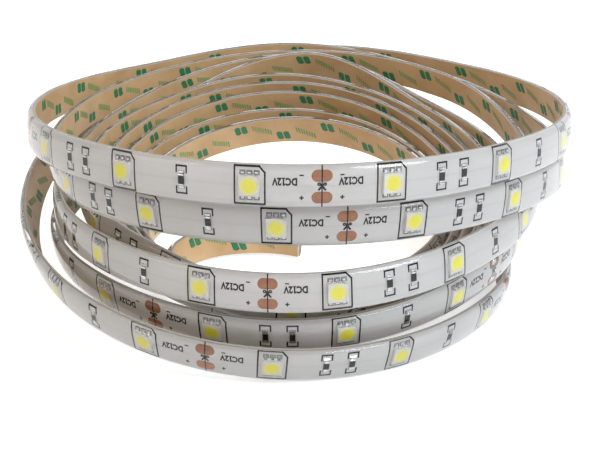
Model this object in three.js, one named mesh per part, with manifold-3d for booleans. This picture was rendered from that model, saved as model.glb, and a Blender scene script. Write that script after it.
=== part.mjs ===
// A 5 m reel of 10 mm wide flexible LED strip, lying loosely coiled on a table. Millimetres, +Z up.
// Three LEDs and three resistors repeat every 100 mm; the strip can be cut between them.
import * as THREE from 'three';
import Module from 'manifold-3d';

const wasm = await Module();
wasm.setup();
const { Manifold, Mesh } = wasm;

// Driving dimensions
const stripWidth = 10;
const stripLength = 5000;
const segmentLength = 100;
const ledsPerSegment = 3;
const tapeThickness = 0.3;
const boardThickness = 0.4;
const ledSize = 5;
const ledHeight = 1.6;
const edgeHeight = 0.9;
const crownHeight = 2.3;
const crownWidth = 5;
const firstJoint = 7;
const segmentsPerSection = 5;
const solderLength = 3.6;
const solderWidth = 2.4;
const solderHeight = 0.7;
const solderSeat = 0.02;
const padOffset = 2.5;

const pitch = segmentLength / ledsPerSegment;
const segments = Math.floor(stripLength / segmentLength);
// The route below suits a 5 m strip, 10 mm wide, with 100 mm segments. A larger strip lies in a larger coil.
const coilScale = Math.max(stripLength / 5000, stripWidth / 10, segmentLength / 100);

// The route of the strip round the coil, which runs clockwise seen from above. Each row holds the turn, the
// angle in it (0 right, 90 front, 180 left, 270 back), the centre's x and y, the radius, the height of the
// strip's middle, and how far its upper edge leans outwards in degrees.
const route = [
  [0, -270, 0, 0, 66, 4.6, 0],
  [0, -180, 0, 0, 64, 4.6, 0],
  [0, -90, 0, 0, 64, 4.6, 0],
  [0, -45, 0, 0, 62.5, 4.6, 0],
  [0, 0, 0, 0, 60.5, 5, 6],
  [0, 40, 0, 0, 71.5, 5.4, 14],
  [0, 90, 0, 0, 85, 5.3, 21],
  [0, 130, 0, 0, 86.5, 12, 19],
  [0, 180, 0, 0, 82, 27, 18],
  [0, 225, 0, 0, 84.8, 38, 3],
  [0, 270, 0, 0, 83.6, 48.5, -15],
  [0, 320, 0, 0, 82, 46.8, -16],
  [1, 0, 0, 0, 80, 48, -10],
  [1, 45, 0, 0, 82, 51.3, -3],
  [1, 90, 0, 0, 87, 52.5, -2],
  [1, 135, 0, 0, 83.5, 52, -2],
  [1, 180, 0, 0, 78.5, 49, -6],
  [1, 225, 0, 0, 78.8, 47, -16],
  [1, 270, 0, 0, 79.8, 50.2, -18],
  [1, 315, 0, 0, 76.8, 43.2, -18],
  [2, 0, 0, 0, 78.6, 36.6, -8],
  [2, 45, 0, 0, 80.5, 40.5, 2],
  [2, 90, 0, 0, 84, 41.6, 8],
  [2, 135, 0, 0, 79.5, 41.5, 4],
  [2, 180, 0, 0, 72, 42.4, -5],
  [2, 205, 0, 0, 73.6, 43, -11],
  [2, 270, 0, 0, 76.2, 48.4, -20],
  [2, 315, 0, 0, 72.6, 44.8, -17],
  [3, 0, 0, 0, 70.5, 34.2, -8],
  [3, 45, 0, 0, 77, 28.8, -2],
  [3, 90, 0, 0, 86, 25, 0],
  [3, 135, 0, 0, 80, 27, 2],
  [3, 180, 0, 0, 70.5, 31, -2],
  [3, 205, 0, 0, 70.8, 35, -10],
  [3, 270, 0, 0, 72.8, 47.6, -24],
  [3, 315, 0, 0, 69, 34, -19],
  [4, 0, 0, 0, 66.8, 26.2, -5],
  [4, 45, 0, 0, 73.5, 17.5, 10],
  [4, 90, 0, 0, 81.5, 11.8, 19],
  [4, 135, 0, 0, 79.5, 15.5, 14],
  [4, 180, 0, 0, 72.3, 19.8, 2],
  [4, 205, 0, 0, 68.4, 24, -6],
  [4, 270, 0, 0, 67.6, 49.4, -28],
  [4, 315, 0, 0, 65.2, 33.6, -22],
  [5, 0, 0, 0, 62.6, 25, -8],
  [5, 90, 0, 0, 76.4, 17, 8],
  [5, 125, 0, 0, 73, 25, 4],
  [5, 180, 0, 0, 64, 32.6, -2],
  [5, 215, 0, 0, 63, 37, -11],
  [5, 270, 0, 0, 63.6, 42, -26],
  [6, 0, 0, 0, 58.8, 22, -8],
  [6, 90, 0, 0, 72, 14, 8],
  [6, 180, 0, 0, 60.2, 29, -4],
  [6, 270, 0, 0, 60, 40, -26],
  [7, 0, 0, 0, 55.4, 20, -8],
  [7, 90, 0, 0, 67.9, 12, 8],
  [7, 180, 0, 0, 57, 26, -4],
  [7, 270, 0, 0, 56.8, 37.2, -26],
  [8, 0, 0, 0, 52, 18, -8],
  [8, 90, 0, 0, 64.2, 10.5, 6],
  [8, 180, 0, 0, 53.6, 23, -6],
  [8, 270, 0, 0, 53.4, 31.5, -22],
  [9, 0, 0, 0, 48.6, 16.5, -8],
  [9, 90, 0, 0, 60.6, 9, 4],
  [9, 180, 0, 0, 50.2, 20, -6],
  [9, 270, 0, 0, 50, 29.3, -22],
  [10, 0, 0, 0, 45.2, 17.8, -6],
  [10, 90, 0, 0, 56.6, 8, 2],
  [10, 135, 0, 0, 50.8, 7.6, 0],
  [10, 180, 0, 0, 48.6, 8, 0],
  [10, 225, 0, 0, 54, 5.2, 0],
  [10, 270, 0, 0, 58.5, 4.6, 0],
  [10, 315, 0, 0, 57, 4.6, 0],
  [11, 0, 0, 0, 48.4, 4.6, 0],
  [11, 30, 0, 0, 44.7, 4.6, 0],
  [11, 60, -2, -5, 44.5, 4.6, 0],
  [11, 90, -5, -10.2, 40.2, 4.6, 0],
  [11, 125, -7.8, -15.5, 29.2, 4.8, 0],
  [11, 180, -13.5, -20.5, 25.3, 5.2, 0],
  [11, 250, -15, -22, 24, 5.6, 0],
  [11, 300, -15, -22, 25, 5.6, 0],
  [11, 350, -15, -22, 27, 5.6, 0],
];
const startAngle = -145.2;
const angles = route.map(([turn, degrees]) => 360 * turn + degrees);

// One column of the route at any angle, as a smooth curve through the rows.
function along(column, angle) {
  let k = 0;
  while (k < route.length - 2 && angle > angles[k + 1]) k += 1;
  const at = (j) => Math.max(0, Math.min(route.length - 1, j));
  const value = (j) => route[at(j)][column];
  const place = (j) => angles[at(j)];
  const span = angles[k + 1] - angles[k];
  const t = (angle - angles[k]) / span;
  const slopeIn = (value(k + 1) - value(k - 1)) / (place(k + 1) - place(k - 1));
  const slopeOut = (value(k + 2) - value(k)) / (place(k + 2) - place(k));
  return (2 * t ** 3 - 3 * t ** 2 + 1) * value(k)
    + (t ** 3 - 2 * t ** 2 + t) * span * slopeIn
    + (3 * t ** 2 - 2 * t ** 3) * value(k + 1)
    + (t ** 3 - t ** 2) * span * slopeOut;
}

function middle(angle) {
  const turn = THREE.MathUtils.degToRad(angle);
  const radius = along(4, angle);
  const x = along(2, angle) + radius * Math.cos(turn);
  const y = along(3, angle) - radius * Math.sin(turn);
  return new THREE.Vector3(x, y, along(5, angle)).multiplyScalar(coilScale);
}

// The strip's middle, its width direction (upwards) and its outward normal at an angle.
function stationAt(angle) {
  const point = middle(angle);
  const travel = middle(angle + 0.5).sub(middle(angle - 0.5)).normalize();
  const out = new THREE.Vector3(-travel.y, travel.x, 0).normalize();
  const turn = THREE.MathUtils.degToRad(angle);
  if (out.x * Math.cos(turn) - out.y * Math.sin(turn) < 0) out.negate();
  const up = new THREE.Vector3().crossVectors(travel, out);
  if (up.z < 0) up.negate();
  const lean = THREE.MathUtils.degToRad(along(6, angle));
  const width = up.clone().multiplyScalar(Math.cos(lean)).addScaledVector(out, Math.sin(lean));
  const normal = out.clone().multiplyScalar(Math.cos(lean)).addScaledVector(up, -Math.sin(lean));
  return { point, width, normal };
}

// Angles at which the strip has run a given length, from a walk in quarter degrees.
const walk = [{ angle: startAngle, run: 0 }];
while (walk[walk.length - 1].run < stripLength + 1) {
  const last = walk[walk.length - 1];
  const next = last.angle + 0.25;
  walk.push({ angle: next, run: last.run + middle(next).distanceTo(middle(last.angle)) });
}
function angleAfter(run) {
  let k = 1;
  while (k < walk.length - 1 && walk[k].run < run) k += 1;
  const part = (run - walk[k - 1].run) / (walk[k].run - walk[k - 1].run);
  return walk[k - 1].angle + 0.25 * part;
}

// Flat lengths of half a pitch, so each LED and each joint sits on a flat piece of the strip.
const runs = [0];
for (let k = 0; k < segments * ledsPerSegment * 2; k += 1) runs.push(pitch / 4 + k * pitch / 2);
runs.push(stripLength);
const stations = runs.map((run) => ({ run, ...stationAt(angleAfter(run)) }));

// Runs of the soldered joints between sections, and of where each section starts and ends.
const joints = [];
for (let k = firstJoint; k < segments; k += segmentsPerSection) joints.push(k * segmentLength);
const bounds = [0, ...joints, stripLength];

// A station inside a flat length lies on the straight line between its two neighbours.
function stationInside(run) {
  const k = runs.findIndex((r) => r > run) - 1;
  const [a, b] = [stations[k], stations[k + 1]];
  const t = (run - a.run) / (b.run - a.run);
  const mix = (key) => a[key].clone().lerp(b[key], t);
  return { run, point: mix('point'), width: mix('width'), normal: mix('normal') };
}

const rings = [...stations, ...joints.map(stationInside)].sort((a, b) => a.run - b.run);
const corner = (s, [w, n]) => s.point.clone().addScaledVector(s.width, w).addScaledVector(s.normal, n);

// A closed body swept through stations with one outline of [width, height] points. Where two bodies touch,
// both split each face along the same diagonal.
function sweep(list, outline) {
  const points = [];
  for (const s of list) for (const o of outline) points.push(...corner(s, o).toArray());
  const n = outline.length;
  const faces = [];
  for (let i = 0; i + 1 < list.length; i += 1) {
    for (let j = 0; j < n; j += 1) {
      const [a, b] = [i * n + j, i * n + (j + 1) % n];
      if (outline[j][0] > outline[(j + 1) % n][0]) faces.push(a, b, b + n, a, b + n, a + n);
      else faces.push(a, b, a + n, b, b + n, a + n);
    }
  }
  const end = (list.length - 1) * n;
  for (let j = 1; j + 1 < n; j += 1) {
    faces.push(0, j + 1, j);
    faces.push(end, end + j, end + j + 1);
  }
  return solid(points, faces);
}

// Turns points and faces into a solid; the winding is set so that its volume is positive.
function solid(points, faces) {
  const make = (list) => new Manifold(new Mesh({
    numProp: 3,
    vertProperties: new Float32Array(points),
    triVerts: new Uint32Array(list),
  }));
  const p = (i) => new THREE.Vector3().fromArray(points, 3 * i);
  let volume = 0;
  for (let i = 0; i < faces.length; i += 3) {
    volume += p(faces[i]).dot(p(faces[i + 1]).cross(p(faces[i + 2])));
  }
  return make(volume > 0 ? faces : faces.map((_, i) => faces[i - (i % 3) + [0, 2, 1][i % 3]]));
}

// A point on the flat length of the strip at a run, at a place across it and a height above it.
function pointOn(run, across, height) {
  const k = runs.findIndex((r) => r > run) - 1;
  const [a, b] = [stations[k], stations[k + 1]];
  return corner(a, [across, height]).lerp(corner(b, [across, height]), (run - a.run) / (b.run - a.run));
}

// A block on the strip: an outline of [travel, width] points, drawn from one height to another and tapered
// by a scale.
function block(run, across, outline, low, high, taper) {
  const points = [];
  for (const [height, scale] of [[low, 1], [high, taper]]) {
    for (const [s, w] of outline) {
      points.push(...pointOn(run + s * scale, across + w * scale, height).toArray());
    }
  }
  const n = outline.length;
  const faces = [];
  for (let j = 0; j < n; j += 1) {
    const next = (j + 1) % n;
    faces.push(j, next, next + n, j, next + n, j + n);
  }
  for (let j = 1; j + 1 < n; j += 1) faces.push(0, j + 1, j, n, n + j, n + j + 1);
  return solid(points, faces);
}

const rectangle = (length, width) => [[-1, -1], [1, -1], [1, 1], [-1, 1]]
  .map(([s, w]) => [s * length / 2, w * width / 2]);
const oval = (length, width, sides) => Array.from({ length: sides }, (_, i) => {
  const turn = 2 * Math.PI * (i + 0.5) / sides;
  return [length / 2 * Math.cos(turn), width / 2 * Math.sin(turn)];
});

const half = stripWidth / 2;
const tapeOutline = [[-half, -tapeThickness], [half, -tapeThickness], [half, 0], [-half, 0]];
const boardOutline = [[-half, 0], [half, 0], [half, boardThickness], [-half, boardThickness]];
const coatingOutline = [
  [-half, boardThickness],
  [half, boardThickness],
  [half, edgeHeight],
  [crownWidth / 2, crownHeight],
  [-crownWidth / 2, crownHeight],
  [-half, edgeHeight],
];

const group = new THREE.Group();
group.name = 'led_strip_light';
const bodies = [];
function add(name, body, color, roughness, extra = {}) {
  bodies.push({ name, body, material: new THREE.MeshStandardMaterial({ color, roughness, ...extra }) });
}

const label = (k) => String(k + 1).padStart(2, '0');

const leds = [];
for (let k = 0; k < segments * ledsPerSegment; k += 1) {
  const run = pitch / 2 + k * pitch;
  const body = block(run, 0, rectangle(ledSize, ledSize), boardThickness / 2, boardThickness + ledHeight, 1);
  leds.push({ run, body });
}
const solders = [];
joints.forEach((run, k) => {
  for (const [name, across] of [['minus', padOffset], ['plus', -padOffset]]) {
    const outline = oval(solderLength, solderWidth, 8);
    const seat = boardThickness + solderSeat;
    const dome = block(run, across, outline, seat, seat + solderHeight, 0.5);
    const foot = block(run, across, outline, boardThickness / 2, seat, 1);
    solders.push({ name: `solder_${name}_${label(k)}`, body: dome, pocket: dome.add(foot) });
  }
});

for (let k = 0; k + 1 < bounds.length; k += 1) {
  const [from, to] = [bounds[k], bounds[k + 1]];
  const own = leds.filter((l) => l.run > from && l.run < to).map((l) => l.body);
  const board = sweep(rings.filter((s) => s.run > from - 0.01 && s.run < to + 0.01), boardOutline);
  add(`circuit_section_${label(k)}`, Manifold.union([board, ...own]), 0xece9e2, 0.5);
}
for (const s of solders) add(s.name, s.body, 0xb9bcc0, 0.25, { metalness: 1 });

const pockets = Manifold.union([...leds.map((l) => l.body), ...solders.map((s) => s.pocket)]);
add('clear_coating', sweep(rings, coatingOutline).subtract(pockets), 0xf4f6f8, 0.08,
  { transparent: true, opacity: 0.35 });
add('backing_tape', sweep(rings, tapeOutline), 0xc8a777, 0.8);

// Each body becomes one mesh, moved so that the coil stands centred on the ground.
const box = new THREE.Box3();
const meshes = bodies.map(({ name, body, material }) => {
  const { vertProperties, triVerts, numProp } = body.getMesh();
  const positions = new Float32Array(vertProperties.length / numProp * 3);
  for (let i = 0; i < positions.length / 3; i += 1) {
    for (let j = 0; j < 3; j += 1) positions[3 * i + j] = vertProperties[i * numProp + j];
  }
  const geometry = new THREE.BufferGeometry();
  geometry.setAttribute('position', new THREE.BufferAttribute(positions, 3));
  geometry.setIndex(Array.from(triVerts));
  geometry.computeBoundingBox();
  box.union(geometry.boundingBox);
  const mesh = new THREE.Mesh(geometry, material);
  mesh.name = name;
  return mesh;
});
const centre = box.getCenter(new THREE.Vector3());
for (const mesh of meshes) {
  mesh.geometry.translate(-centre.x, -centre.y, -box.min.z);
  mesh.geometry.computeVertexNormals();
  group.add(mesh);
}

export default group;
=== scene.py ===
# A 5 m reel of white LED strip, lying loosely coiled on a white table. Metres, +Z up.
import math

import bmesh
import bpy
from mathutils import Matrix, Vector


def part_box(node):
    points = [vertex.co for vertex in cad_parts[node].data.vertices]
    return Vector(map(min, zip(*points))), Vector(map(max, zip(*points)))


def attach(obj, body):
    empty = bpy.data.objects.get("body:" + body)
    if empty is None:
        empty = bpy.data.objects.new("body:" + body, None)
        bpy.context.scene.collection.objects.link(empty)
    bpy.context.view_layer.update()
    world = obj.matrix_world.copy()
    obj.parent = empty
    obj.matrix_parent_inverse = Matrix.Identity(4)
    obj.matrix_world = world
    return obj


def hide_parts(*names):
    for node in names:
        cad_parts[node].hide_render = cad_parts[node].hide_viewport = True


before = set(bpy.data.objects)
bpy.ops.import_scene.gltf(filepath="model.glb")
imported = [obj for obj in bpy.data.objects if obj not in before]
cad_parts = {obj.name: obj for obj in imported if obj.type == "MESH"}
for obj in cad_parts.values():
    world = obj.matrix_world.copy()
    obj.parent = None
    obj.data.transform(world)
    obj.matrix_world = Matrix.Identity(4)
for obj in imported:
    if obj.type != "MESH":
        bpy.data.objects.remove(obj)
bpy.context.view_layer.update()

# The table and the light around it: a white paper ground that keeps the coil's soft shadow, a large cool
# lamp high in front on the right, a weaker warm one on the left, and a plain even sky. The camera stands
# in front of the coil and looks down on it at 20 degrees.
image_width = 600
focal_pixels = 1072
sensor = 0.036
camera_place = Vector((0.00126, -0.32271, 0.12944))
camera_pitch = math.radians(20)

camera = bpy.data.objects.new("camera", bpy.data.cameras.new("camera"))
camera.data.sensor_width = sensor * 1000
camera.data.lens = sensor * 1000 * focal_pixels / image_width
camera.data.clip_start, camera.data.clip_end = 0.01, 20
camera.location = camera_place
camera.rotation_euler = (math.pi / 2 - camera_pitch, 0, 0)
bpy.context.scene.collection.objects.link(camera)
bpy.context.scene.camera = camera


def seen_rays(nodes, links):
    """One for what the camera sees, by gloss or through a clear body too, and nothing for lighting rays."""
    path = nodes.new("ShaderNodeLightPath")
    total = path.outputs["Is Camera Ray"]
    for name in ("Is Glossy Ray", "Is Transmission Ray"):
        more = nodes.new("ShaderNodeMath")
        more.operation = "MAXIMUM"
        links.new(total, more.inputs[0])
        links.new(path.outputs[name], more.inputs[1])
        total = more.outputs[0]
    straight = nodes.new("ShaderNodeMath")
    straight.operation = "LESS_THAN"
    straight.inputs[1].default_value = 0.5
    links.new(path.outputs["Diffuse Depth"], straight.inputs[0])
    kept = nodes.new("ShaderNodeMath")
    kept.operation = "MULTIPLY"
    links.new(total, kept.inputs[0])
    links.new(straight.outputs[0], kept.inputs[1])
    return kept.outputs[0]


def light_ground(name, shade, glow_strength):
    """A white ground that looks white from everywhere and still shows soft shadows."""
    material = bpy.data.materials.new(name)
    material.use_nodes = True
    nodes, links = material.node_tree.nodes, material.node_tree.links
    surface = nodes["Principled BSDF"]
    surface.inputs["Base Color"].default_value = (shade, shade, shade, 1)
    surface.inputs["Roughness"].default_value = 0.9
    surface.inputs["Specular IOR Level"].default_value = 0.1
    surface.inputs["Emission Color"].default_value = (1, 1, 1, 1)
    glow = nodes.new("ShaderNodeMath")
    glow.operation = "MULTIPLY"
    glow.inputs[1].default_value = glow_strength
    links.new(seen_rays(nodes, links), glow.inputs[0])
    links.new(glow.outputs[0], surface.inputs["Emission Strength"])
    return material


ground_mesh = bpy.data.meshes.new("ground")
ground_half, ground_height = 6, -0.0002
ground_corners = [(x * ground_half, y * ground_half, ground_height)
                  for x, y in ((-1, -1), (1, -1), (1, 1), (-1, 1))]
ground_mesh.from_pydata(ground_corners, [], [(0, 1, 2, 3)])
ground = bpy.data.objects.new("ground", ground_mesh)
ground.data.materials.append(light_ground("white_paper", 0.8, 0.62))
bpy.context.scene.collection.objects.link(ground)

sky = bpy.data.worlds.new("sky")
bpy.context.scene.world = sky
sky.use_nodes = True
sky_nodes, sky_links = sky.node_tree.nodes, sky.node_tree.links
sky_light = sky_nodes["Background"]
sky_light.inputs["Color"].default_value = (1, 1, 1, 1)
sky_glow = sky_nodes.new("ShaderNodeMapRange")
sky_glow.inputs["To Min"].default_value = 0.58
sky_glow.inputs["To Max"].default_value = 1.0
sky_links.new(seen_rays(sky_nodes, sky_links), sky_glow.inputs["Value"])
sky_links.new(sky_glow.outputs["Result"], sky_light.inputs["Strength"])

lamp_size, lamps_aim = 0.6, Vector((0, 0, 0.02))
for name, place, power, color in (
        ("key_lamp", (0.65, -0.6, 0.8), 12, (0.86, 0.93, 1)),
        ("fill_lamp", (-0.8, -0.45, 0.7), 3, (1, 0.77, 0.52))):
    lamp = bpy.data.objects.new(name, bpy.data.lights.new(name, "AREA"))
    lamp.data.shape = "DISK"
    lamp.data.size = lamp_size
    lamp.data.energy = power
    lamp.data.color = color
    lamp.location = place
    lamp.rotation_euler = (lamps_aim - Vector(place)).to_track_quat("-Z", "Y").to_euler()
    bpy.context.scene.collection.objects.link(lamp)
bpy.context.scene.view_settings.view_transform = "Standard"

# The way the strip lies: twelve turns, clockwise from above, fanned out in front and leaning together at
# the back. Each row holds the turn, the angle in it (0 right, 90 front, 180 left, 270 back), the centre's x
# and y, the radius and the height of the strip's middle, in millimetres, and how far its upper edge leans
# outwards in degrees.
mm = 0.001
strip_width = 10 * mm
strip_length = 5000 * mm
start_angle = -145.2
route = [
    (0, -270, 0, 0, 66, 4.6, 0),
    (0, -180, 0, 0, 64, 4.6, 0),
    (0, -90, 0, 0, 64, 4.6, 0),
    (0, -45, 0, 0, 62.5, 4.6, 0),
    (0, 0, 0, 0, 60.5, 5, 6),
    (0, 40, 0, 0, 71.5, 5.4, 14),
    (0, 90, 0, 0, 85, 5.3, 21),
    (0, 130, 0, 0, 86.5, 12, 19),
    (0, 180, 0, 0, 82, 27, 18),
    (0, 225, 0, 0, 84.8, 38, 3),
    (0, 270, 0, 0, 83.6, 48.5, -15),
    (0, 320, 0, 0, 82, 46.8, -16),
    (1, 0, 0, 0, 80, 48, -10),
    (1, 45, 0, 0, 82, 51.3, -3),
    (1, 90, 0, 0, 87, 52.5, -2),
    (1, 135, 0, 0, 83.5, 52, -2),
    (1, 180, 0, 0, 78.5, 49, -6),
    (1, 225, 0, 0, 78.8, 47, -16),
    (1, 270, 0, 0, 79.8, 50.2, -18),
    (1, 315, 0, 0, 76.8, 43.2, -18),
    (2, 0, 0, 0, 78.6, 36.6, -8),
    (2, 45, 0, 0, 80.5, 40.5, 2),
    (2, 90, 0, 0, 84, 41.6, 8),
    (2, 135, 0, 0, 79.5, 41.5, 4),
    (2, 180, 0, 0, 72, 42.4, -5),
    (2, 205, 0, 0, 73.6, 43, -11),
    (2, 270, 0, 0, 76.2, 48.4, -20),
    (2, 315, 0, 0, 72.6, 44.8, -17),
    (3, 0, 0, 0, 70.5, 34.2, -8),
    (3, 45, 0, 0, 77, 28.8, -2),
    (3, 90, 0, 0, 86, 25, 0),
    (3, 135, 0, 0, 80, 27, 2),
    (3, 180, 0, 0, 70.5, 31, -2),
    (3, 205, 0, 0, 70.8, 35, -10),
    (3, 270, 0, 0, 72.8, 47.6, -24),
    (3, 315, 0, 0, 69, 34, -19),
    (4, 0, 0, 0, 66.8, 26.2, -5),
    (4, 45, 0, 0, 73.5, 17.5, 10),
    (4, 90, 0, 0, 81.5, 11.8, 19),
    (4, 135, 0, 0, 79.5, 15.5, 14),
    (4, 180, 0, 0, 72.3, 19.8, 2),
    (4, 205, 0, 0, 68.4, 24, -6),
    (4, 270, 0, 0, 67.6, 49.4, -28),
    (4, 315, 0, 0, 65.2, 33.6, -22),
    (5, 0, 0, 0, 62.6, 25, -8),
    (5, 90, 0, 0, 76.4, 17, 8),
    (5, 125, 0, 0, 73, 25, 4),
    (5, 180, 0, 0, 64, 32.6, -2),
    (5, 215, 0, 0, 63, 37, -11),
    (5, 270, 0, 0, 63.6, 42, -26),
    (6, 0, 0, 0, 58.8, 22, -8),
    (6, 90, 0, 0, 72, 14, 8),
    (6, 180, 0, 0, 60.2, 29, -4),
    (6, 270, 0, 0, 60, 40, -26),
    (7, 0, 0, 0, 55.4, 20, -8),
    (7, 90, 0, 0, 67.9, 12, 8),
    (7, 180, 0, 0, 57, 26, -4),
    (7, 270, 0, 0, 56.8, 37.2, -26),
    (8, 0, 0, 0, 52, 18, -8),
    (8, 90, 0, 0, 64.2, 10.5, 6),
    (8, 180, 0, 0, 53.6, 23, -6),
    (8, 270, 0, 0, 53.4, 31.5, -22),
    (9, 0, 0, 0, 48.6, 16.5, -8),
    (9, 90, 0, 0, 60.6, 9, 4),
    (9, 180, 0, 0, 50.2, 20, -6),
    (9, 270, 0, 0, 50, 29.3, -22),
    (10, 0, 0, 0, 45.2, 17.8, -6),
    (10, 90, 0, 0, 56.6, 8, 2),
    (10, 135, 0, 0, 50.8, 7.6, 0),
    (10, 180, 0, 0, 48.6, 8, 0),
    (10, 225, 0, 0, 54, 5.2, 0),
    (10, 270, 0, 0, 58.5, 4.6, 0),
    (10, 315, 0, 0, 57, 4.6, 0),
    (11, 0, 0, 0, 48.4, 4.6, 0),
    (11, 30, 0, 0, 44.7, 4.6, 0),
    (11, 60, -2, -5, 44.5, 4.6, 0),
    (11, 90, -5, -10.2, 40.2, 4.6, 0),
    (11, 125, -7.8, -15.5, 29.2, 4.8, 0),
    (11, 180, -13.5, -20.5, 25.3, 5.2, 0),
    (11, 250, -15, -22, 24, 5.6, 0),
    (11, 300, -15, -22, 25, 5.6, 0),
    (11, 350, -15, -22, 27, 5.6, 0),
]
angles = [360 * row[0] + row[1] for row in route]


def along(column, angle):
    """One column of the route at any angle, as a smooth curve through the rows."""
    k = 0
    while k < len(route) - 2 and angle > angles[k + 1]:
        k += 1
    value = [route[max(0, min(len(route) - 1, j))][column] for j in range(k - 1, k + 3)]
    place = [angles[max(0, min(len(route) - 1, j))] for j in range(k - 1, k + 3)]
    span = place[2] - place[1]
    t = (angle - place[1]) / span
    slope_in = (value[2] - value[0]) / (place[2] - place[0])
    slope_out = (value[3] - value[1]) / (place[3] - place[1])
    return ((2 * t**3 - 3 * t**2 + 1) * value[1] + (t**3 - 2 * t**2 + t) * span * slope_in
            + (3 * t**2 - 2 * t**3) * value[2] + (t**3 - t**2) * span * slope_out)


def middle(angle):
    """The middle of the strip at an angle."""
    turn = math.radians(angle)
    radius = along(4, angle)
    x = along(2, angle) + radius * math.cos(turn)
    y = along(3, angle) - radius * math.sin(turn)
    return Vector((x, y, along(5, angle))) * mm


def station(angle):
    """The strip's middle, its width direction (upwards) and its outward direction at an angle."""
    near = 0.5
    travel = (middle(angle + near) - middle(angle - near)).normalized()
    out = Vector((-travel.y, travel.x, 0)).normalized()
    turn = math.radians(angle)
    if out.x * math.cos(turn) - out.y * math.sin(turn) < 0:
        out.negate()
    up = travel.cross(out)
    lean = math.radians(along(6, angle))
    across = up * math.cos(lean) + out * math.sin(lean)
    outward = out * math.cos(lean) - up * math.sin(lean)
    return middle(angle), across, outward


# The guide is a line along the strip's middle, from the inner end to the outer one, as the printed side
# reads from left to right. It carries the strip's directions, and the pieces below are made flat and then
# laid along it.
walk = [(start_angle, 0.0)]
walk_step = 0.25
while walk[-1][1] < strip_length + mm:
    last_angle, last_run = walk[-1]
    next_angle = last_angle + walk_step
    walk.append((next_angle, last_run + (middle(next_angle) - middle(last_angle)).length))


def stations_at(runs):
    """The strip's middle and directions at rising distances from the end where the route starts."""
    found = []
    place = 1
    for run in runs:
        while place < len(walk) - 1 and walk[place][1] < run:
            place += 1
        (angle_a, run_a), (angle_b, run_b) = walk[place - 1], walk[place]
        found.append(station(angle_a + (angle_b - angle_a) * (run - run_a) / (run_b - run_a)))
    return found


# The solid model has flat lengths of half an LED pitch, a sixth of a segment. Its lowest corners give the
# coil's place.
segment = 100 * mm
flat_length = segment / 6
tape_thickness = 0.3 * mm
half = strip_width / 2
flat_count = round(strip_length / flat_length)
flat_runs = [0, *[flat_length * (k + 0.5) for k in range(flat_count)], strip_length]
tape_corners = [centre + across * wide - outward * deep
                for centre, across, outward in stations_at(flat_runs)
                for wide in (-half, half) for deep in (0, tape_thickness)]
coil_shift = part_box("backing_tape")[0] - Vector([min(p[i] for p in tape_corners) for i in range(3)])
guide_steps = 2500
guide_rows = stations_at([strip_length * k / guide_steps for k in range(guide_steps + 1)])
guide_rows.reverse()

guide_mesh = bpy.data.meshes.new("guide")
guide_places = [centre + coil_shift for centre, across, outward in guide_rows]
guide_mesh.from_pydata(guide_places, [(k, k + 1) for k in range(guide_steps)], [])
for name, part in (("across", 1), ("outward", 2)):
    layer = guide_mesh.attributes.new(name, "FLOAT_VECTOR", "POINT")
    layer.data.foreach_set("vector", [v for row in guide_rows for v in row[part]])
guide = bpy.data.objects.new("guide", guide_mesh)
bpy.context.scene.collection.objects.link(guide)


def new_tree(name, sockets):
    """An empty geometry tree with named inputs and one geometry output."""
    tree = bpy.data.node_groups.new(name, "GeometryNodeTree")
    tree.interface.new_socket("Geometry", in_out="OUTPUT", socket_type="NodeSocketGeometry")
    tree.interface.new_socket("Geometry", in_out="INPUT", socket_type="NodeSocketGeometry")
    for label, kind in sockets:
        tree.interface.new_socket(label, in_out="INPUT", socket_type="NodeSocket" + kind)
    return tree, tree.nodes.new("NodeGroupInput"), tree.nodes.new("NodeGroupOutput")


def add_guide(tree, given, distance):
    """The guide's place and directions at a distance along it."""
    info = tree.nodes.new("GeometryNodeObjectInfo")
    tree.links.new(given.outputs["Guide"], info.inputs["Object"])
    curve = tree.nodes.new("GeometryNodeMeshToCurve")
    tree.links.new(info.outputs["Geometry"], curve.inputs["Mesh"])
    share = tree.nodes.new("ShaderNodeMath")
    share.operation = "DIVIDE"
    tree.links.new(distance, share.inputs[0])
    tree.links.new(given.outputs["Length"], share.inputs[1])
    found = []
    for name in ("position", "across", "outward"):
        named = tree.nodes.new("GeometryNodeInputNamedAttribute")
        named.data_type = "FLOAT_VECTOR"
        named.inputs["Name"].default_value = name
        sample = tree.nodes.new("GeometryNodeSampleCurve")
        sample.mode = "FACTOR"
        sample.use_all_curves = True
        sample.data_type = "FLOAT_VECTOR"
        tree.links.new(curve.outputs["Curve"], sample.inputs["Curves"])
        tree.links.new(named.outputs["Attribute"], sample.inputs["Value"])
        tree.links.new(share.outputs[0], sample.inputs["Factor"])
        found.append(sample.outputs["Position"] if name == "position" else sample.outputs["Value"])
    return found


def add_scaled(tree, vector, factor):
    """A vector times a factor."""
    scaled = tree.nodes.new("ShaderNodeVectorMath")
    scaled.operation = "SCALE"
    tree.links.new(vector, scaled.inputs[0])
    tree.links.new(factor, scaled.inputs["Scale"])
    return scaled.outputs[0]


def add_sum(tree, first, second):
    """The sum of two vectors."""
    total = tree.nodes.new("ShaderNodeVectorMath")
    total.operation = "ADD"
    tree.links.new(first, total.inputs[0])
    tree.links.new(second, total.inputs[1])
    return total.outputs[0]


def add_row(tree, given):
    """Points at even steps along the flat strip."""
    offset = tree.nodes.new("ShaderNodeCombineXYZ")
    tree.links.new(given.outputs["Pitch"], offset.inputs["X"])
    first = tree.nodes.new("ShaderNodeCombineXYZ")
    tree.links.new(given.outputs["First"], first.inputs["X"])
    line = tree.nodes.new("GeometryNodeMeshLine")
    tree.links.new(given.outputs["Count"], line.inputs["Count"])
    tree.links.new(first.outputs[0], line.inputs["Start Location"])
    tree.links.new(offset.outputs[0], line.inputs["Offset"])
    return line.outputs["Mesh"]


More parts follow.
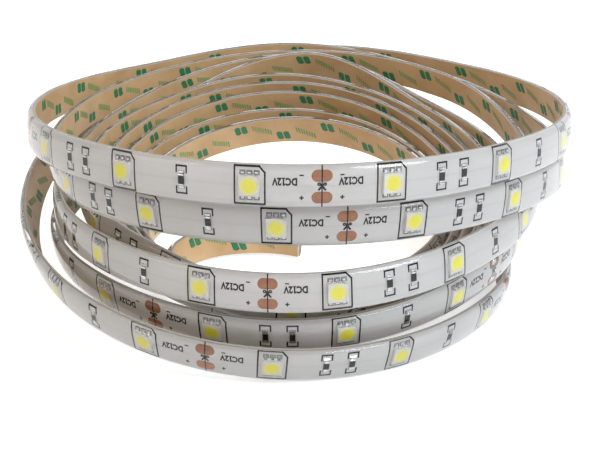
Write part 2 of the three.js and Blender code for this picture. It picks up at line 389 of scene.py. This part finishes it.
row_sockets = [("Guide", "Object"), ("Length", "Float"), ("Count", "Int"), ("Pitch", "Float"),
               ("First", "Float"), ("Material", "Material")]

# Laid: flat pieces are repeated along the flat strip, and every point of them is then carried onto the
# guide.
laid, given, result = new_tree("laid_along_strip", row_sockets)
copies = laid.nodes.new("GeometryNodeInstanceOnPoints")
laid.links.new(add_row(laid, given), copies.inputs["Points"])
laid.links.new(given.outputs["Geometry"], copies.inputs["Instance"])
real = laid.nodes.new("GeometryNodeRealizeInstances")
laid.links.new(copies.outputs["Instances"], real.inputs["Geometry"])
spot = laid.nodes.new("GeometryNodeInputPosition")
split = laid.nodes.new("ShaderNodeSeparateXYZ")
laid.links.new(spot.outputs[0], split.inputs[0])
centre, across, outward = add_guide(laid, given, split.outputs["X"])
carried = add_sum(laid, add_sum(laid, centre, add_scaled(laid, across, split.outputs["Y"])),
                  add_scaled(laid, outward, split.outputs["Z"]))
moved = laid.nodes.new("GeometryNodeSetPosition")
laid.links.new(real.outputs["Geometry"], moved.inputs["Geometry"])
laid.links.new(carried, moved.inputs["Position"])
dressed = laid.nodes.new("GeometryNodeSetMaterial")
laid.links.new(moved.outputs["Geometry"], dressed.inputs["Geometry"])
laid.links.new(given.outputs["Material"], dressed.inputs["Material"])
laid.links.new(dressed.outputs["Geometry"], result.inputs["Geometry"])

# Seated: stiff pieces stay as they are, and each copy is set down at its place on the guide and turned to
# face out.
seated, given, result = new_tree("seated_on_strip", row_sockets)
row = add_row(seated, given)
spot = seated.nodes.new("GeometryNodeInputPosition")
split = seated.nodes.new("ShaderNodeSeparateXYZ")
seated.links.new(spot.outputs[0], split.inputs[0])
centre, across, outward = add_guide(seated, given, split.outputs["X"])
turn = seated.nodes.new("FunctionNodeAxesToRotation")
turn.primary_axis = "Z"
turn.secondary_axis = "Y"
seated.links.new(outward, turn.inputs["Primary Axis"])
seated.links.new(across, turn.inputs["Secondary Axis"])
keep_turn = seated.nodes.new("GeometryNodeStoreNamedAttribute")
keep_turn.data_type = "QUATERNION"
keep_turn.inputs["Name"].default_value = "facing"
seated.links.new(row, keep_turn.inputs["Geometry"])
seated.links.new(turn.outputs[0], keep_turn.inputs["Value"])
moved = seated.nodes.new("GeometryNodeSetPosition")
seated.links.new(keep_turn.outputs["Geometry"], moved.inputs["Geometry"])
seated.links.new(centre, moved.inputs["Position"])
facing = seated.nodes.new("GeometryNodeInputNamedAttribute")
facing.data_type = "QUATERNION"
facing.inputs["Name"].default_value = "facing"
copies = seated.nodes.new("GeometryNodeInstanceOnPoints")
seated.links.new(moved.outputs["Geometry"], copies.inputs["Points"])
seated.links.new(given.outputs["Geometry"], copies.inputs["Instance"])
seated.links.new(facing.outputs["Attribute"], copies.inputs["Rotation"])
real = seated.nodes.new("GeometryNodeRealizeInstances")
seated.links.new(copies.outputs["Instances"], real.inputs["Geometry"])
dressed = seated.nodes.new("GeometryNodeSetMaterial")
seated.links.new(real.outputs["Geometry"], dressed.inputs["Geometry"])
seated.links.new(given.outputs["Material"], dressed.inputs["Material"])
seated.links.new(dressed.outputs["Geometry"], result.inputs["Geometry"])


sharp_angle = math.radians(40)


def on_strip(name, flat, tree, material, count=1, pitch=0.0, first=0.0, smooth=False):
    """The finished piece: a flat mesh laid or seated along the strip, as a mesh that rides on the root."""
    source = bpy.data.objects.new(name + "_flat", flat)
    bpy.context.scene.collection.objects.link(source)
    modifier = source.modifiers.new("strip", "NODES")
    modifier.node_group = tree
    values = {"Guide": guide, "Length": strip_length, "Count": count, "Pitch": pitch, "First": first,
              "Material": material}
    for socket in tree.interface.items_tree:
        if socket.in_out == "INPUT" and socket.name in values:
            modifier[socket.identifier] = values[socket.name]
    graph = bpy.context.evaluated_depsgraph_get()
    mesh = bpy.data.meshes.new_from_object(source.evaluated_get(graph), depsgraph=graph)
    bpy.data.objects.remove(source)
    mesh.name = name
    if smooth:
        mesh.shade_smooth()
        mesh.set_sharp_from_angle(angle=sharp_angle)
    else:
        mesh.shade_flat()
    piece = bpy.data.objects.new(name, mesh)
    bpy.context.scene.collection.objects.link(piece)
    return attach(piece, "root")


def ribbon(name, outline, first, last, step):
    """A flat length of a closed outline of (across, height) points, with its run and width as a UV map."""
    count = max(1, round((last - first) / step))
    mesh = bpy.data.meshes.new(name)
    form = bmesh.new()
    runs = [first + (last - first) * k / count for k in range(count + 1)]
    rings = [[form.verts.new((x, y, z)) for y, z in outline] for x in runs]
    layer = form.loops.layers.uv.new("strip")
    for a, b in zip(rings, rings[1:]):
        for j in range(len(outline)):
            form.faces.new((a[j - 1], b[j - 1], b[j], a[j]))
    form.faces.new(rings[0])
    form.faces.new(reversed(rings[-1]))
    for face in form.faces:
        for loop in face.loops:
            loop[layer].uv = (loop.vert.co.x, loop.vert.co.y)
    bmesh.ops.recalc_face_normals(form, faces=form.faces)
    form.to_mesh(mesh)
    form.free()
    return mesh


def plain_material(name, roughness, **sockets):
    """A principled material with its own constants; a _ in a socket's name stands for a space."""
    material = bpy.data.materials.new(name)
    material.use_nodes = True
    surface = material.node_tree.nodes["Principled BSDF"]
    surface.inputs["Roughness"].default_value = roughness
    for socket, value in sockets.items():
        surface.inputs[socket.replace("_", " ")].default_value = value
    return material, material.node_tree, surface


def add_noise(tree, source, scale, detail, low_value=0, high_value=1):
    """A noise on a coordinate, brought between two values."""
    noise = tree.nodes.new("ShaderNodeTexNoise")
    noise.inputs["Scale"].default_value = scale
    noise.inputs["Detail"].default_value = detail
    tree.links.new(source, noise.inputs["Vector"])
    reach = tree.nodes.new("ShaderNodeMapRange")
    reach.inputs["From Min"].default_value = 0.3
    reach.inputs["From Max"].default_value = 0.7
    reach.inputs["To Min"].default_value = low_value
    reach.inputs["To Max"].default_value = high_value
    tree.links.new(noise.outputs[0], reach.inputs["Value"])
    return reach.outputs["Result"]


def add_bump(tree, surface, height, strength, distance):
    """A bump in the surface, from a height between 0 and 1."""
    bump = tree.nodes.new("ShaderNodeBump")
    bump.inputs["Strength"].default_value = strength
    bump.inputs["Distance"].default_value = distance
    tree.links.new(height, bump.inputs["Height"])
    tree.links.new(bump.outputs[0], surface.inputs["Normal"])


def add_tint(tree, surface, factor, first, second):
    """The base colour between two linear colours, the first of which may be another node's output."""
    tint = tree.nodes.new("ShaderNodeMix")
    tint.data_type = "RGBA"
    if isinstance(first, tuple):
        tint.inputs["A"].default_value = (*first, 1)
    else:
        tree.links.new(first, tint.inputs["A"])
    tint.inputs["B"].default_value = (*second, 1)
    tree.links.new(factor, tint.inputs["Factor"])
    tree.links.new(tint.outputs["Result"], surface.inputs["Base Color"])
    return tint.outputs["Result"]


def add_uv(tree, name):
    """The coordinates of one of the piece's own UV maps."""
    map_uv = tree.nodes.new("ShaderNodeUVMap")
    map_uv.uv_map = name
    return map_uv.outputs[0]


def add_width_place(tree, strip_uv):
    """How far from the strip's middle a point of a ribbon lies."""
    spread = tree.nodes.new("ShaderNodeSeparateXYZ")
    tree.links.new(strip_uv, spread.inputs[0])
    return spread.outputs["Y"]


def add_shaded_cut_edges(tree, surface, width_place, face_color, edge_shade_color):
    """A darker colour on the two cut edges of a ribbon, painted shade where the edges meet the gaps between
    turns.
    """
    distance = tree.nodes.new("ShaderNodeMath")
    distance.operation = "ABSOLUTE"
    tree.links.new(width_place, distance.inputs[0])
    rim = tree.nodes.new("ShaderNodeMapRange")
    rim.inputs["From Min"].default_value = half - 0.06 * mm
    rim.inputs["From Max"].default_value = half - 0.03 * mm
    tree.links.new(distance.outputs[0], rim.inputs["Value"])
    add_tint(tree, surface, rim.outputs["Result"], face_color, edge_shade_color)


# The backing: a tan waxed release paper over the adhesive, on the side that faces into the coil. It is a
# thin ribbon with faint fibres, a light satin wax and slow changes of tone, and its cut edges are painted
# greyer and darker as painted shade.
bend_step = 2 * mm
tape_outline = [(-half, -tape_thickness), (half, -tape_thickness), (half, 0), (-half, 0)]
paper, tree, surface = plain_material("release_paper", 0.42)
strip_uv = add_uv(tree, "strip")
stretch = tree.nodes.new("ShaderNodeMapping")
stretch.inputs["Scale"].default_value = (0.35, 1, 1)
tree.links.new(strip_uv, stretch.inputs["Vector"])
paper_waver = add_noise(tree, strip_uv, 90, 3)
paper_tone = add_tint(tree, surface, paper_waver, (0.54, 0.335, 0.16), (0.66, 0.44, 0.235))
# The greyer, darker cut edges are painted shade, not the paper's own colour.
add_shaded_cut_edges(tree, surface, add_width_place(tree, strip_uv), paper_tone, (0.36, 0.31, 0.25))
add_bump(tree, surface, add_noise(tree, stretch.outputs[0], 2600, 4), 0.25, 0.04 * mm)
backing_flat = ribbon("backing_flat", tape_outline, 0, strip_length, bend_step)
backing = on_strip("backing_paper", backing_flat, laid, paper)
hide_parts("backing_tape")


class Flat:
    """Flat prints on the strip, all at one height, each shape a polygon of (along, across) points in mm."""

    def __init__(self, name, height, inward=False):
        self.name, self.height, self.inward = name, height, inward
        self.form = bmesh.new()

    def shape(self, points):
        """A filled polygon."""
        verts = [self.form.verts.new((x * mm, y * mm, self.height)) for x, y in points]
        face = self.form.faces.new(verts)
        face.normal_update()
        if (face.normal.z > 0) == self.inward:
            face.normal_flip()

    def bar(self, x0, y0, x1, y1, width):
        """A straight stroke of a width between two points."""
        run = Vector((x1 - x0, y1 - y0))
        side = Vector((-run.y, run.x)).normalized() * width / 2
        ends = (Vector((x0, y0)), Vector((x1, y1)))
        self.shape([ends[0] - side, ends[1] - side, ends[1] + side, ends[0] + side])

    def path(self, points, width, closed=False):
        """Strokes through points, one bar a side, each a little longer than its side to close corners."""
        pairs = zip(points, points[1:] + points[:1]) if closed else zip(points, points[1:])
        for a, b in pairs:
            run = (Vector(b) - Vector(a)).normalized() * width / 2
            self.bar(a[0] - run.x, a[1] - run.y, b[0] + run.x, b[1] + run.y, width)

    def text(self, words, x, y, size, squeeze, turned=False):
        """Plain letters, standing upright or turned upside down, with their middle at x, y."""
        curve = bpy.data.curves.new(self.name + "_words", "FONT")
        curve.body = words
        curve.size = size
        curve.align_x = "CENTER"
        curve.align_y = "CENTER"
        curve.resolution_u = 2
        curve.offset = 0.045 * size
        letters = bpy.data.objects.new(self.name + "_words", curve)
        bpy.context.scene.collection.objects.link(letters)
        graph = bpy.context.evaluated_depsgraph_get()
        mesh = bpy.data.meshes.new_from_object(letters.evaluated_get(graph))
        sign = -1 if turned else 1
        for polygon in mesh.polygons:
            corners = [mesh.vertices[v].co for v in polygon.vertices]
            self.shape([(x + sign * c.x * squeeze, y + sign * c.y) for c in corners])
        bpy.data.objects.remove(letters)

    def mesh(self):
        """The shapes as a mesh, cut across at every bend_step so that they can follow the strip's bends."""
        runs = [vert.co.x for vert in self.form.verts]
        first_cut, last_cut = math.floor(min(runs) / bend_step) + 1, math.ceil(max(runs) / bend_step)
        for k in range(first_cut, last_cut):
            bmesh.ops.bisect_plane(self.form, geom=[*self.form.verts, *self.form.edges, *self.form.faces],
                                   dist=0.00001 * mm, plane_co=(k * bend_step, 0, 0), plane_no=(1, 0, 0))
        mesh = bpy.data.meshes.new(self.name)
        self.form.to_mesh(mesh)
        self.form.free()
        return mesh


def add_mottle(tree, surface, scale, detail, first, second):
    """A base colour that wavers between two, on the object's own coordinates."""
    spots = tree.nodes.new("ShaderNodeTexCoord")
    grain = add_noise(tree, spots.outputs["Object"], scale, detail)
    add_tint(tree, surface, grain, first, second)
    return grain


# The green print: two inks printed on the release paper before it goes onto the adhesive. Strong ink gives
# pairs of slanted leaves, and faded ink gives slanted rows of short strokes between them. The pattern
# repeats every 32 mm.
paper_print_height = -tape_thickness - 0.035 * mm
print_pitch = 32
leaf = [(-1.5, -1.3), (-0.5, -1.8), (0.6, -1.4), (1.5, 1.2), (0.7, 1.8), (-0.5, 1.5)]
leaf_pairs, leaf_offset = ((4, 2.3), (20, -2.1)), 1.25
stroke_rows, strokes_in_row = ((12, -0.9), (28, 0.9)), 8
stroke_step, stroke_rise, stroke_slant, stroke_reach, stroke_width = 0.95, 0.35, 0.3, 1.1, 0.5
for name, color, roughness in (
        ("green_print", (0.012, 0.14, 0.055), 0.5),
        ("pale_print", (0.13, 0.25, 0.075), 0.55)):
    ink, tree, surface = plain_material(name, roughness)
    add_mottle(tree, surface, 1500, 3, color, tuple(c * 1.5 + 0.02 for c in color))
    marks = Flat(name, paper_print_height, inward=True)
    if name == "green_print":
        for x, y in leaf_pairs:
            for offset in (-leaf_offset, leaf_offset):
                marks.shape([(x + px + offset, y + py) for px, py in leaf])
    else:
        for x, y in stroke_rows:
            for k in range(strokes_in_row):
                place = k - (strokes_in_row - 1) / 2
                px, py = x + stroke_step * place, y + stroke_rise * place
                marks.bar(px - stroke_slant, py - stroke_reach, px + stroke_slant, py + stroke_reach,
                          stroke_width)
    repeats = round(strip_length / mm / print_pitch)
    piece = on_strip(name, marks.mesh(), laid, ink, count=repeats, pitch=print_pitch * mm)

# The circuit: ten lengths of white flexible board, soldered end to end. The white mask is satin, with a
# slow change of tone, cut edges painted darker as painted shade, and the broad copper tracks under it
# stand up by a trace.
board_thickness = 0.4 * mm
board_count, last_board, board_length = 10, 300, 500
seams = [0] + [(last_board + board_length * k) * mm for k in range(board_count - 1)] + [strip_length]
board_outline = [(-half, 0), (half, 0), (half, board_thickness), (-half, board_thickness)]
track_spacing, track_low, track_high = 1.9 * mm, 0.25 * mm, 0.4 * mm
mask, tree, surface = plain_material("white_mask", 0.38)
strip_uv = add_uv(tree, "strip")
width_place = add_width_place(tree, strip_uv)
lane = tree.nodes.new("ShaderNodeMath")
lane.operation = "PINGPONG"
lane.inputs[1].default_value = track_spacing
tree.links.new(width_place, lane.inputs[0])
band = tree.nodes.new("ShaderNodeMapRange")
band.inputs["From Min"].default_value = track_low
band.inputs["From Max"].default_value = track_high
tree.links.new(lane.outputs[0], band.inputs["Value"])
tracks = tree.nodes.new("ShaderNodeMath")
tracks.use_clamp = True
tree.links.new(band.outputs["Result"], tracks.inputs[0])
tree.links.new(add_noise(tree, strip_uv, 260, 3, -0.12, 0.12), tracks.inputs[1])
mask_tone = add_tint(tree, surface, tracks.outputs[0], (0.74, 0.722, 0.712), (0.772, 0.756, 0.748))
# The board's darker cut edges are painted shade.
add_shaded_cut_edges(tree, surface, width_place, mask_tone, (0.24, 0.22, 0.2))
add_bump(tree, surface, tracks.outputs[0], 0.08, 0.02 * mm)
for k, (first, last) in enumerate(zip(seams, seams[1:])):
    number = board_count - k
    board_flat = ribbon("board_flat", board_outline, first, last, bend_step)
    piece = on_strip(f"board_{number:02d}", board_flat, laid, mask)
    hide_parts(f"circuit_section_{number:02d}")

# The black print on the board: a frame round each LED with one corner cut off, two brackets round each
# resistor, the cut line, and at each cut the signs, the voltage and a pair of scissors. The fine dark line
# round each of the LED's leads is painted shade at the lead's foot, drawn in the same ink.
board_print_height = board_thickness + 0.045 * mm
segment_mm, segment_count = 100, 50
led_places = (16.667, 50, 83.333)
resistor_places = (30, 36.667, 66.667)
lead_places = (-1.65, 0, 1.65)
stroke, lead_shade_stroke = 0.4, 0.12
frame_half_length, frame_half_width, frame_cut = 3.55, 4.3, 1.3
# Painted shade round the LED leads: each lead's dark outline, by its half length and its inner and outer
# edge.
lead_shade_half, lead_shade_low, lead_shade_high = 0.62, 2.4, 3.4
bracket_half, bracket_low, bracket_high = 1.3, 1.75, 3.2
cut_line, cut_half_length = 0.08, 4.95
sign_offset, sign_half, sign_stroke = 4.7, 0.5, 0.32
minus_y, minus_stroke, plus_y = 2.55, 0.3, -2.7
voltage_y, voltage_size, voltage_squeeze = 1.15, 2.4, 0.78
ink, tree, surface = plain_material("black_print", 0.5, Specular_IOR_Level=0.1)
add_mottle(tree, surface, 2500, 2, (0.003, 0.003, 0.003), (0.01, 0.01, 0.011))
marks = Flat("black_print", board_print_height)
for x in led_places:
    low, high, top = x - frame_half_length, x + frame_half_length, frame_half_width
    corners = [(low, -top), (low, top), (high - frame_cut, top), (high, top - frame_cut), (high, -top)]
    marks.path(corners, stroke, closed=True)
    # A fine dark line round each lead: painted shade at the lead's foot, in the black ink.
    for lead in lead_places:
        low, high = x + lead - lead_shade_half, x + lead + lead_shade_half
        for side in (-1, 1):
            inner, outer = side * lead_shade_low, side * lead_shade_high
            marks.path([(low, inner), (low, outer), (high, outer), (high, inner)], lead_shade_stroke)
for x in resistor_places:
    low, high = x - bracket_half, x + bracket_half
    for side in (-1, 1):
        inner, outer = side * bracket_low, side * bracket_high
        marks.path([(low, inner), (low, outer), (high, outer), (high, inner)], stroke)
for x in (cut_line, segment_mm - cut_line):
    marks.bar(x, -cut_half_length, x, cut_half_length, 2 * cut_line)
for edge, side, voltage_offset in ((0, 1, 6.8), (segment_mm, -1, 8.5)):
    sign = edge + side * sign_offset
    marks.bar(sign - sign_half, minus_y, sign + sign_half, minus_y, minus_stroke)
    marks.bar(sign - sign_half, plus_y, sign + sign_half, plus_y, sign_stroke)
    marks.bar(sign, plus_y - sign_half, sign, plus_y + sign_half, sign_stroke)
    voltage_x = edge + side * voltage_offset
    marks.text("DC12V", voltage_x, voltage_y, voltage_size, voltage_squeeze, turned=True)
    # The letters' 1 is a plain bar, so it gets a foot and a flag.
    marks.bar(voltage_x - 0.73, voltage_y + 0.71, voltage_x + 0.06, voltage_y + 0.71, 0.26)
    marks.bar(voltage_x - 0.23, voltage_y - 0.93, voltage_x + 0.06, voltage_y - 0.55, 0.3)
    # Each side of the cut has half of the scissors: a blade, its root at the pivot and a ring for a finger.
    marks.bar(edge, 0.1, edge + side * 0.85, -1.0, 0.48)
    marks.shape([(edge, -0.15), (edge, 0.35), (edge + side * 0.45, 0.55), (edge + side * 0.6, 0.3)])
    ring = [(edge + side * (0.66 + 0.3 * math.cos(a)), 0.5 + 0.26 * math.sin(a))
            for a in (2 * math.pi * k / 8 for k in range(8))]
    marks.path(ring, 0.32, closed=True)
piece = on_strip("black_print", marks.mesh(), laid, ink, count=segment_count, pitch=segment)

# The copper pads at every cut line, where the mask is left open: two bare pads with round ends, one for
# each pole. The cut splits each of them, so each half is a shape of its own.
pad_straight, pad_radius, pad_steps = 1.1, 1.35, 10
copper, tree, surface = plain_material("bare_copper", 0.42, Metallic=0.35)
grain = add_mottle(tree, surface, 900, 4, (0.32, 0.125, 0.058), (0.41, 0.172, 0.085))
add_bump(tree, surface, grain, 0.2, 0.02 * mm)
pads = Flat("copper_pads", board_thickness + 0.02 * mm)
for y in (2.4, -2.65):
    for side, edge in ((1, 0), (-1, segment_mm)):
        arc = [(edge + side * (pad_straight + pad_radius * math.cos(a)), y + pad_radius * math.sin(a))
               for a in (math.pi * (k / pad_steps - 0.5) for k in range(pad_steps + 1))]
        pads.shape([(edge, y - pad_radius), *arc, (edge, y + pad_radius)])
piece = on_strip("copper_pads", pads.mesh(), laid, copper, count=segment_count, pitch=segment)


def finished(form, name):
    """A closed form as a mesh, with its faces pointing outwards."""
    bmesh.ops.recalc_face_normals(form, faces=form.faces)
    mesh = bpy.data.meshes.new(name)
    form.to_mesh(mesh)
    form.free()
    return mesh


# The LED packages: square white bodies of moulded plastic with one corner cut off and a round cup. They
# are soldered to the board a third of a segment apart.
led_half, led_height, cup_radius = 2.5 * mm, 1.6 * mm, 2.05 * mm
corner_cut, rim_drop, top_share = 0.7 * mm, 0.12 * mm, 0.955
cup_depth, floor_radius = 0.25 * mm, cup_radius * 0.97
led_pitch = segment / 3
led_count = 3 * segment_count
led_top = board_thickness + led_height
cup_sides = 20


def edge_at(angle):
    """The point of the package's outline in a direction from its middle."""
    reach = led_half / max(abs(math.cos(angle)), abs(math.sin(angle)))
    x, y = reach * math.cos(angle), reach * math.sin(angle)
    over = x + y - (2 * led_half - corner_cut)
    return (x - over / 2, y - over / 2) if over > 0 else (x, y)


turns = [2 * math.pi * k / cup_sides + math.pi / 4 for k in range(cup_sides)]
levels = [
    [(*edge_at(a), board_thickness) for a in turns],
    [(*edge_at(a), led_top - rim_drop) for a in turns],
    [(edge_at(a)[0] * top_share, edge_at(a)[1] * top_share, led_top) for a in turns],
    [(cup_radius * math.cos(a), cup_radius * math.sin(a), led_top) for a in turns],
    [(floor_radius * math.cos(a), floor_radius * math.sin(a), led_top - cup_depth) for a in turns],
]
form = bmesh.new()
rings = [[form.verts.new(p) for p in level] for level in levels]
for a, b in zip(rings, rings[1:]):
    for k in range(cup_sides):
        form.faces.new((a[k - 1], a[k], b[k], b[k - 1]))
form.faces.new(reversed(rings[0]))
form.faces.new(rings[-1])
package, tree, surface = plain_material("white_package", 0.3)
add_mottle(tree, surface, 700, 2, (0.86, 0.845, 0.8), (0.9, 0.885, 0.845))
piece = on_strip("led_packages", finished(form, "package"), seated, package, count=led_count,
                 pitch=led_pitch, first=led_pitch / 2)

# The phosphor: yellow gel that fills each package's cup to just under its rim. It is paler at the rim, and
# slightly raised in the middle.
foot_share, foot_drop = 0.96, 0.2 * mm
gel_rings = ((0.99, 0.04), (0.75, 0.03), (0.4, 0.02))
form = bmesh.new()
layer = form.loops.layers.uv.new("disc")
foot_ring = [form.verts.new((foot_share * cup_radius * math.cos(a), foot_share * cup_radius * math.sin(a),
                             led_top - foot_drop)) for a in turns]
last_ring = foot_ring
for share, drop in gel_rings:
    radius = cup_radius * share
    ring = [form.verts.new((radius * math.cos(a), radius * math.sin(a), led_top - drop * mm)) for a in turns]
    for k in range(cup_sides):
        form.faces.new((last_ring[k - 1], last_ring[k], ring[k], ring[k - 1]))
    last_ring = ring
form.faces.new(last_ring)
form.faces.new(reversed(foot_ring))
for face in form.faces:
    for loop in face.loops:
        loop[layer].uv = (loop.vert.co.x / cup_radius, loop.vert.co.y / cup_radius)
gel, tree, surface = plain_material("yellow_phosphor", 0.3)
disc_uv = add_uv(tree, "disc")
reach = tree.nodes.new("ShaderNodeVectorMath")
reach.operation = "LENGTH"
tree.links.new(disc_uv, reach.inputs[0])
rim = tree.nodes.new("ShaderNodeMapRange")
rim.inputs["From Min"].default_value = 0.6
tree.links.new(reach.outputs["Value"], rim.inputs["Value"])
add_tint(tree, surface, rim.outputs["Result"], (1.0, 0.93, 0.1), (0.97, 0.93, 0.36))
add_bump(tree, surface, add_noise(tree, disc_uv, 3, 2), 0.1, 0.03 * mm)
piece = on_strip("led_phosphor", finished(form, "phosphor"), seated, gel, count=led_count, pitch=led_pitch,
                 first=led_pitch / 2, smooth=True)


def add_block(form, low_corner, high_corner, inset):
    """A block whose top is a little smaller than its foot."""
    (x0, y0, z0), (x1, y1, z1) = low_corner, high_corner
    foot = [form.verts.new(p) for p in ((x0, y0, z0), (x1, y0, z0), (x1, y1, z0), (x0, y1, z0))]
    top = [form.verts.new(p) for p in ((x0 + inset, y0 + inset, z1), (x1 - inset, y0 + inset, z1),
                                       (x1 - inset, y1 - inset, z1), (x0 + inset, y1 - inset, z1))]
    form.faces.new(reversed(foot))
    form.faces.new(top)
    for k in range(4):
        form.faces.new((foot[k - 1], foot[k], top[k], top[k - 1]))


def add_pair(form, x, half_length, near, far, height, inset):
    """Two blocks on the board, one on each side of the strip's middle, from near to far; all in mm."""
    for side in (-1, 1):
        y0, y1 = sorted((side * near * mm, side * far * mm))
        add_block(form, ((x - half_length) * mm, y0, board_thickness),
                  ((x + half_length) * mm, y1, board_thickness + height * mm), inset * mm)


# The LED leads: three tinned feet on each of two sides of a package, in a film of solder. Each has a flat
# foot on the board and a short riser against the package, given by their half length, their near and far
# edge, their height and how much smaller their top is, in mm.
lead_foot = (0.5, 2.45, 3.25, 0.3, 0.12)
lead_riser = (0.4, 2.47, 2.64, 0.85, 0.03)
tin, tree, surface = plain_material("tin", 0.25, Metallic=1.0)
grain = add_mottle(tree, surface, 1100, 3, (0.38, 0.38, 0.39), (0.62, 0.62, 0.63))
add_bump(tree, surface, grain, 0.25, 0.03 * mm)
form = bmesh.new()
for x in lead_places:
    add_pair(form, x, *lead_foot)
    add_pair(form, x, *lead_riser)
piece = on_strip("led_leads", finished(form, "leads"), seated, tin, count=led_count, pitch=led_pitch,
                 first=led_pitch / 2)

# The resistors: small black ceramic chips that lie across the strip. Each has two silver ends, which sit in
# fillets of solder on the board and are given in the same way as the leads.
chip_half_length, chip_half_width, chip_height, chip_inset = 0.72, 1.02, 0.6, 0.05
end_cap = (0.75, 0.98, 1.5, 0.58, 0.06)
end_fillet = (0.85, 1.4, 2.2, 0.25, 0.2)
chip, tree, surface = plain_material("black_chip", 0.4, Specular_IOR_Level=0.15)
add_mottle(tree, surface, 2000, 2, (0.004, 0.004, 0.005), (0.014, 0.014, 0.016))
bodies = bmesh.new()
ends = bmesh.new()
for x in resistor_places:
    add_block(bodies, ((x - chip_half_length) * mm, -chip_half_width * mm, board_thickness),
              ((x + chip_half_length) * mm, chip_half_width * mm, board_thickness + chip_height * mm),
              chip_inset * mm)
    add_pair(ends, x, *end_cap)
    add_pair(ends, x, *end_fillet)
for name, form, material in (("resistor_bodies", bodies, chip), ("resistor_ends", ends, tin)):
    piece = on_strip(name, finished(form, name), laid, material, count=segment_count, pitch=segment)

# The solder joints between two lengths of board: one shiny lump of tin over each pair of pads, which holds
# the two boards together and carries the current from one to the next.
joint_half_length, joint_half_width, joint_height = 1.8 * mm, 1.2 * mm, 0.75 * mm
joint_sides, joint_rings = 16, (1.0, 0.93, 0.75, 0.45)
joint_turns = [2 * math.pi * k / joint_sides for k in range(joint_sides)]
joint_count = board_count - 1
for name, y in (("minus", 2.5 * mm), ("plus", -2.5 * mm)):
    form = bmesh.new()
    last_ring = None
    for share in joint_rings:
        height = board_thickness + joint_height * math.sqrt(1 - share * share)
        ring = [form.verts.new((joint_half_length * share * math.cos(a),
                                y + joint_half_width * share * math.sin(a), height)) for a in joint_turns]
        if last_ring is None:
            form.faces.new(reversed(ring))
        else:
            for k in range(joint_sides):
                form.faces.new((last_ring[k - 1], last_ring[k], ring[k], ring[k - 1]))
        last_ring = ring
    form.faces.new(last_ring)
    piece = on_strip(f"solder_{name}", finished(form, "solder"), seated, tin, count=joint_count,
                     pitch=board_length * mm, first=last_board * mm, smooth=True)
    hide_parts(*[f"solder_{name}_{k:02d}" for k in range(1, board_count)])

# The coating: clear silicone poured over the whole front. It stands in a low dome, is glossy and faintly
# uneven, and lets everything under it show. It laps over the board's edges by a trace.
edge_height, crown_height = 0.9 * mm, 2.3 * mm
coat_steps, coat_lap = 14, 0.04 * mm
coat_half, coat_foot = half + coat_lap, board_thickness - coat_lap
coat_outline = [(-coat_half, coat_foot), (coat_half, coat_foot)]
for k in range(coat_steps + 1):
    share = math.cos(math.pi * k / coat_steps)
    rise = (crown_height - edge_height) * math.sqrt(max(0, 1 - abs(share) ** 3))
    coat_outline.append((coat_half * share, edge_height + rise))
clear, tree, surface = plain_material("clear_silicone", 0.1, Base_Color=(0.93, 0.93, 0.92, 1),
                                      Transmission_Weight=1.0, IOR=1.41)
add_bump(tree, surface, add_noise(tree, add_uv(tree, "strip"), 160, 2), 0.2, 0.2 * mm)
coat_flat = ribbon("coat_flat", coat_outline, 0, strip_length, bend_step)
piece = on_strip("clear_dome", coat_flat, laid, clear, smooth=True)
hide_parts("clear_coating")

bpy.data.objects.remove(guide)
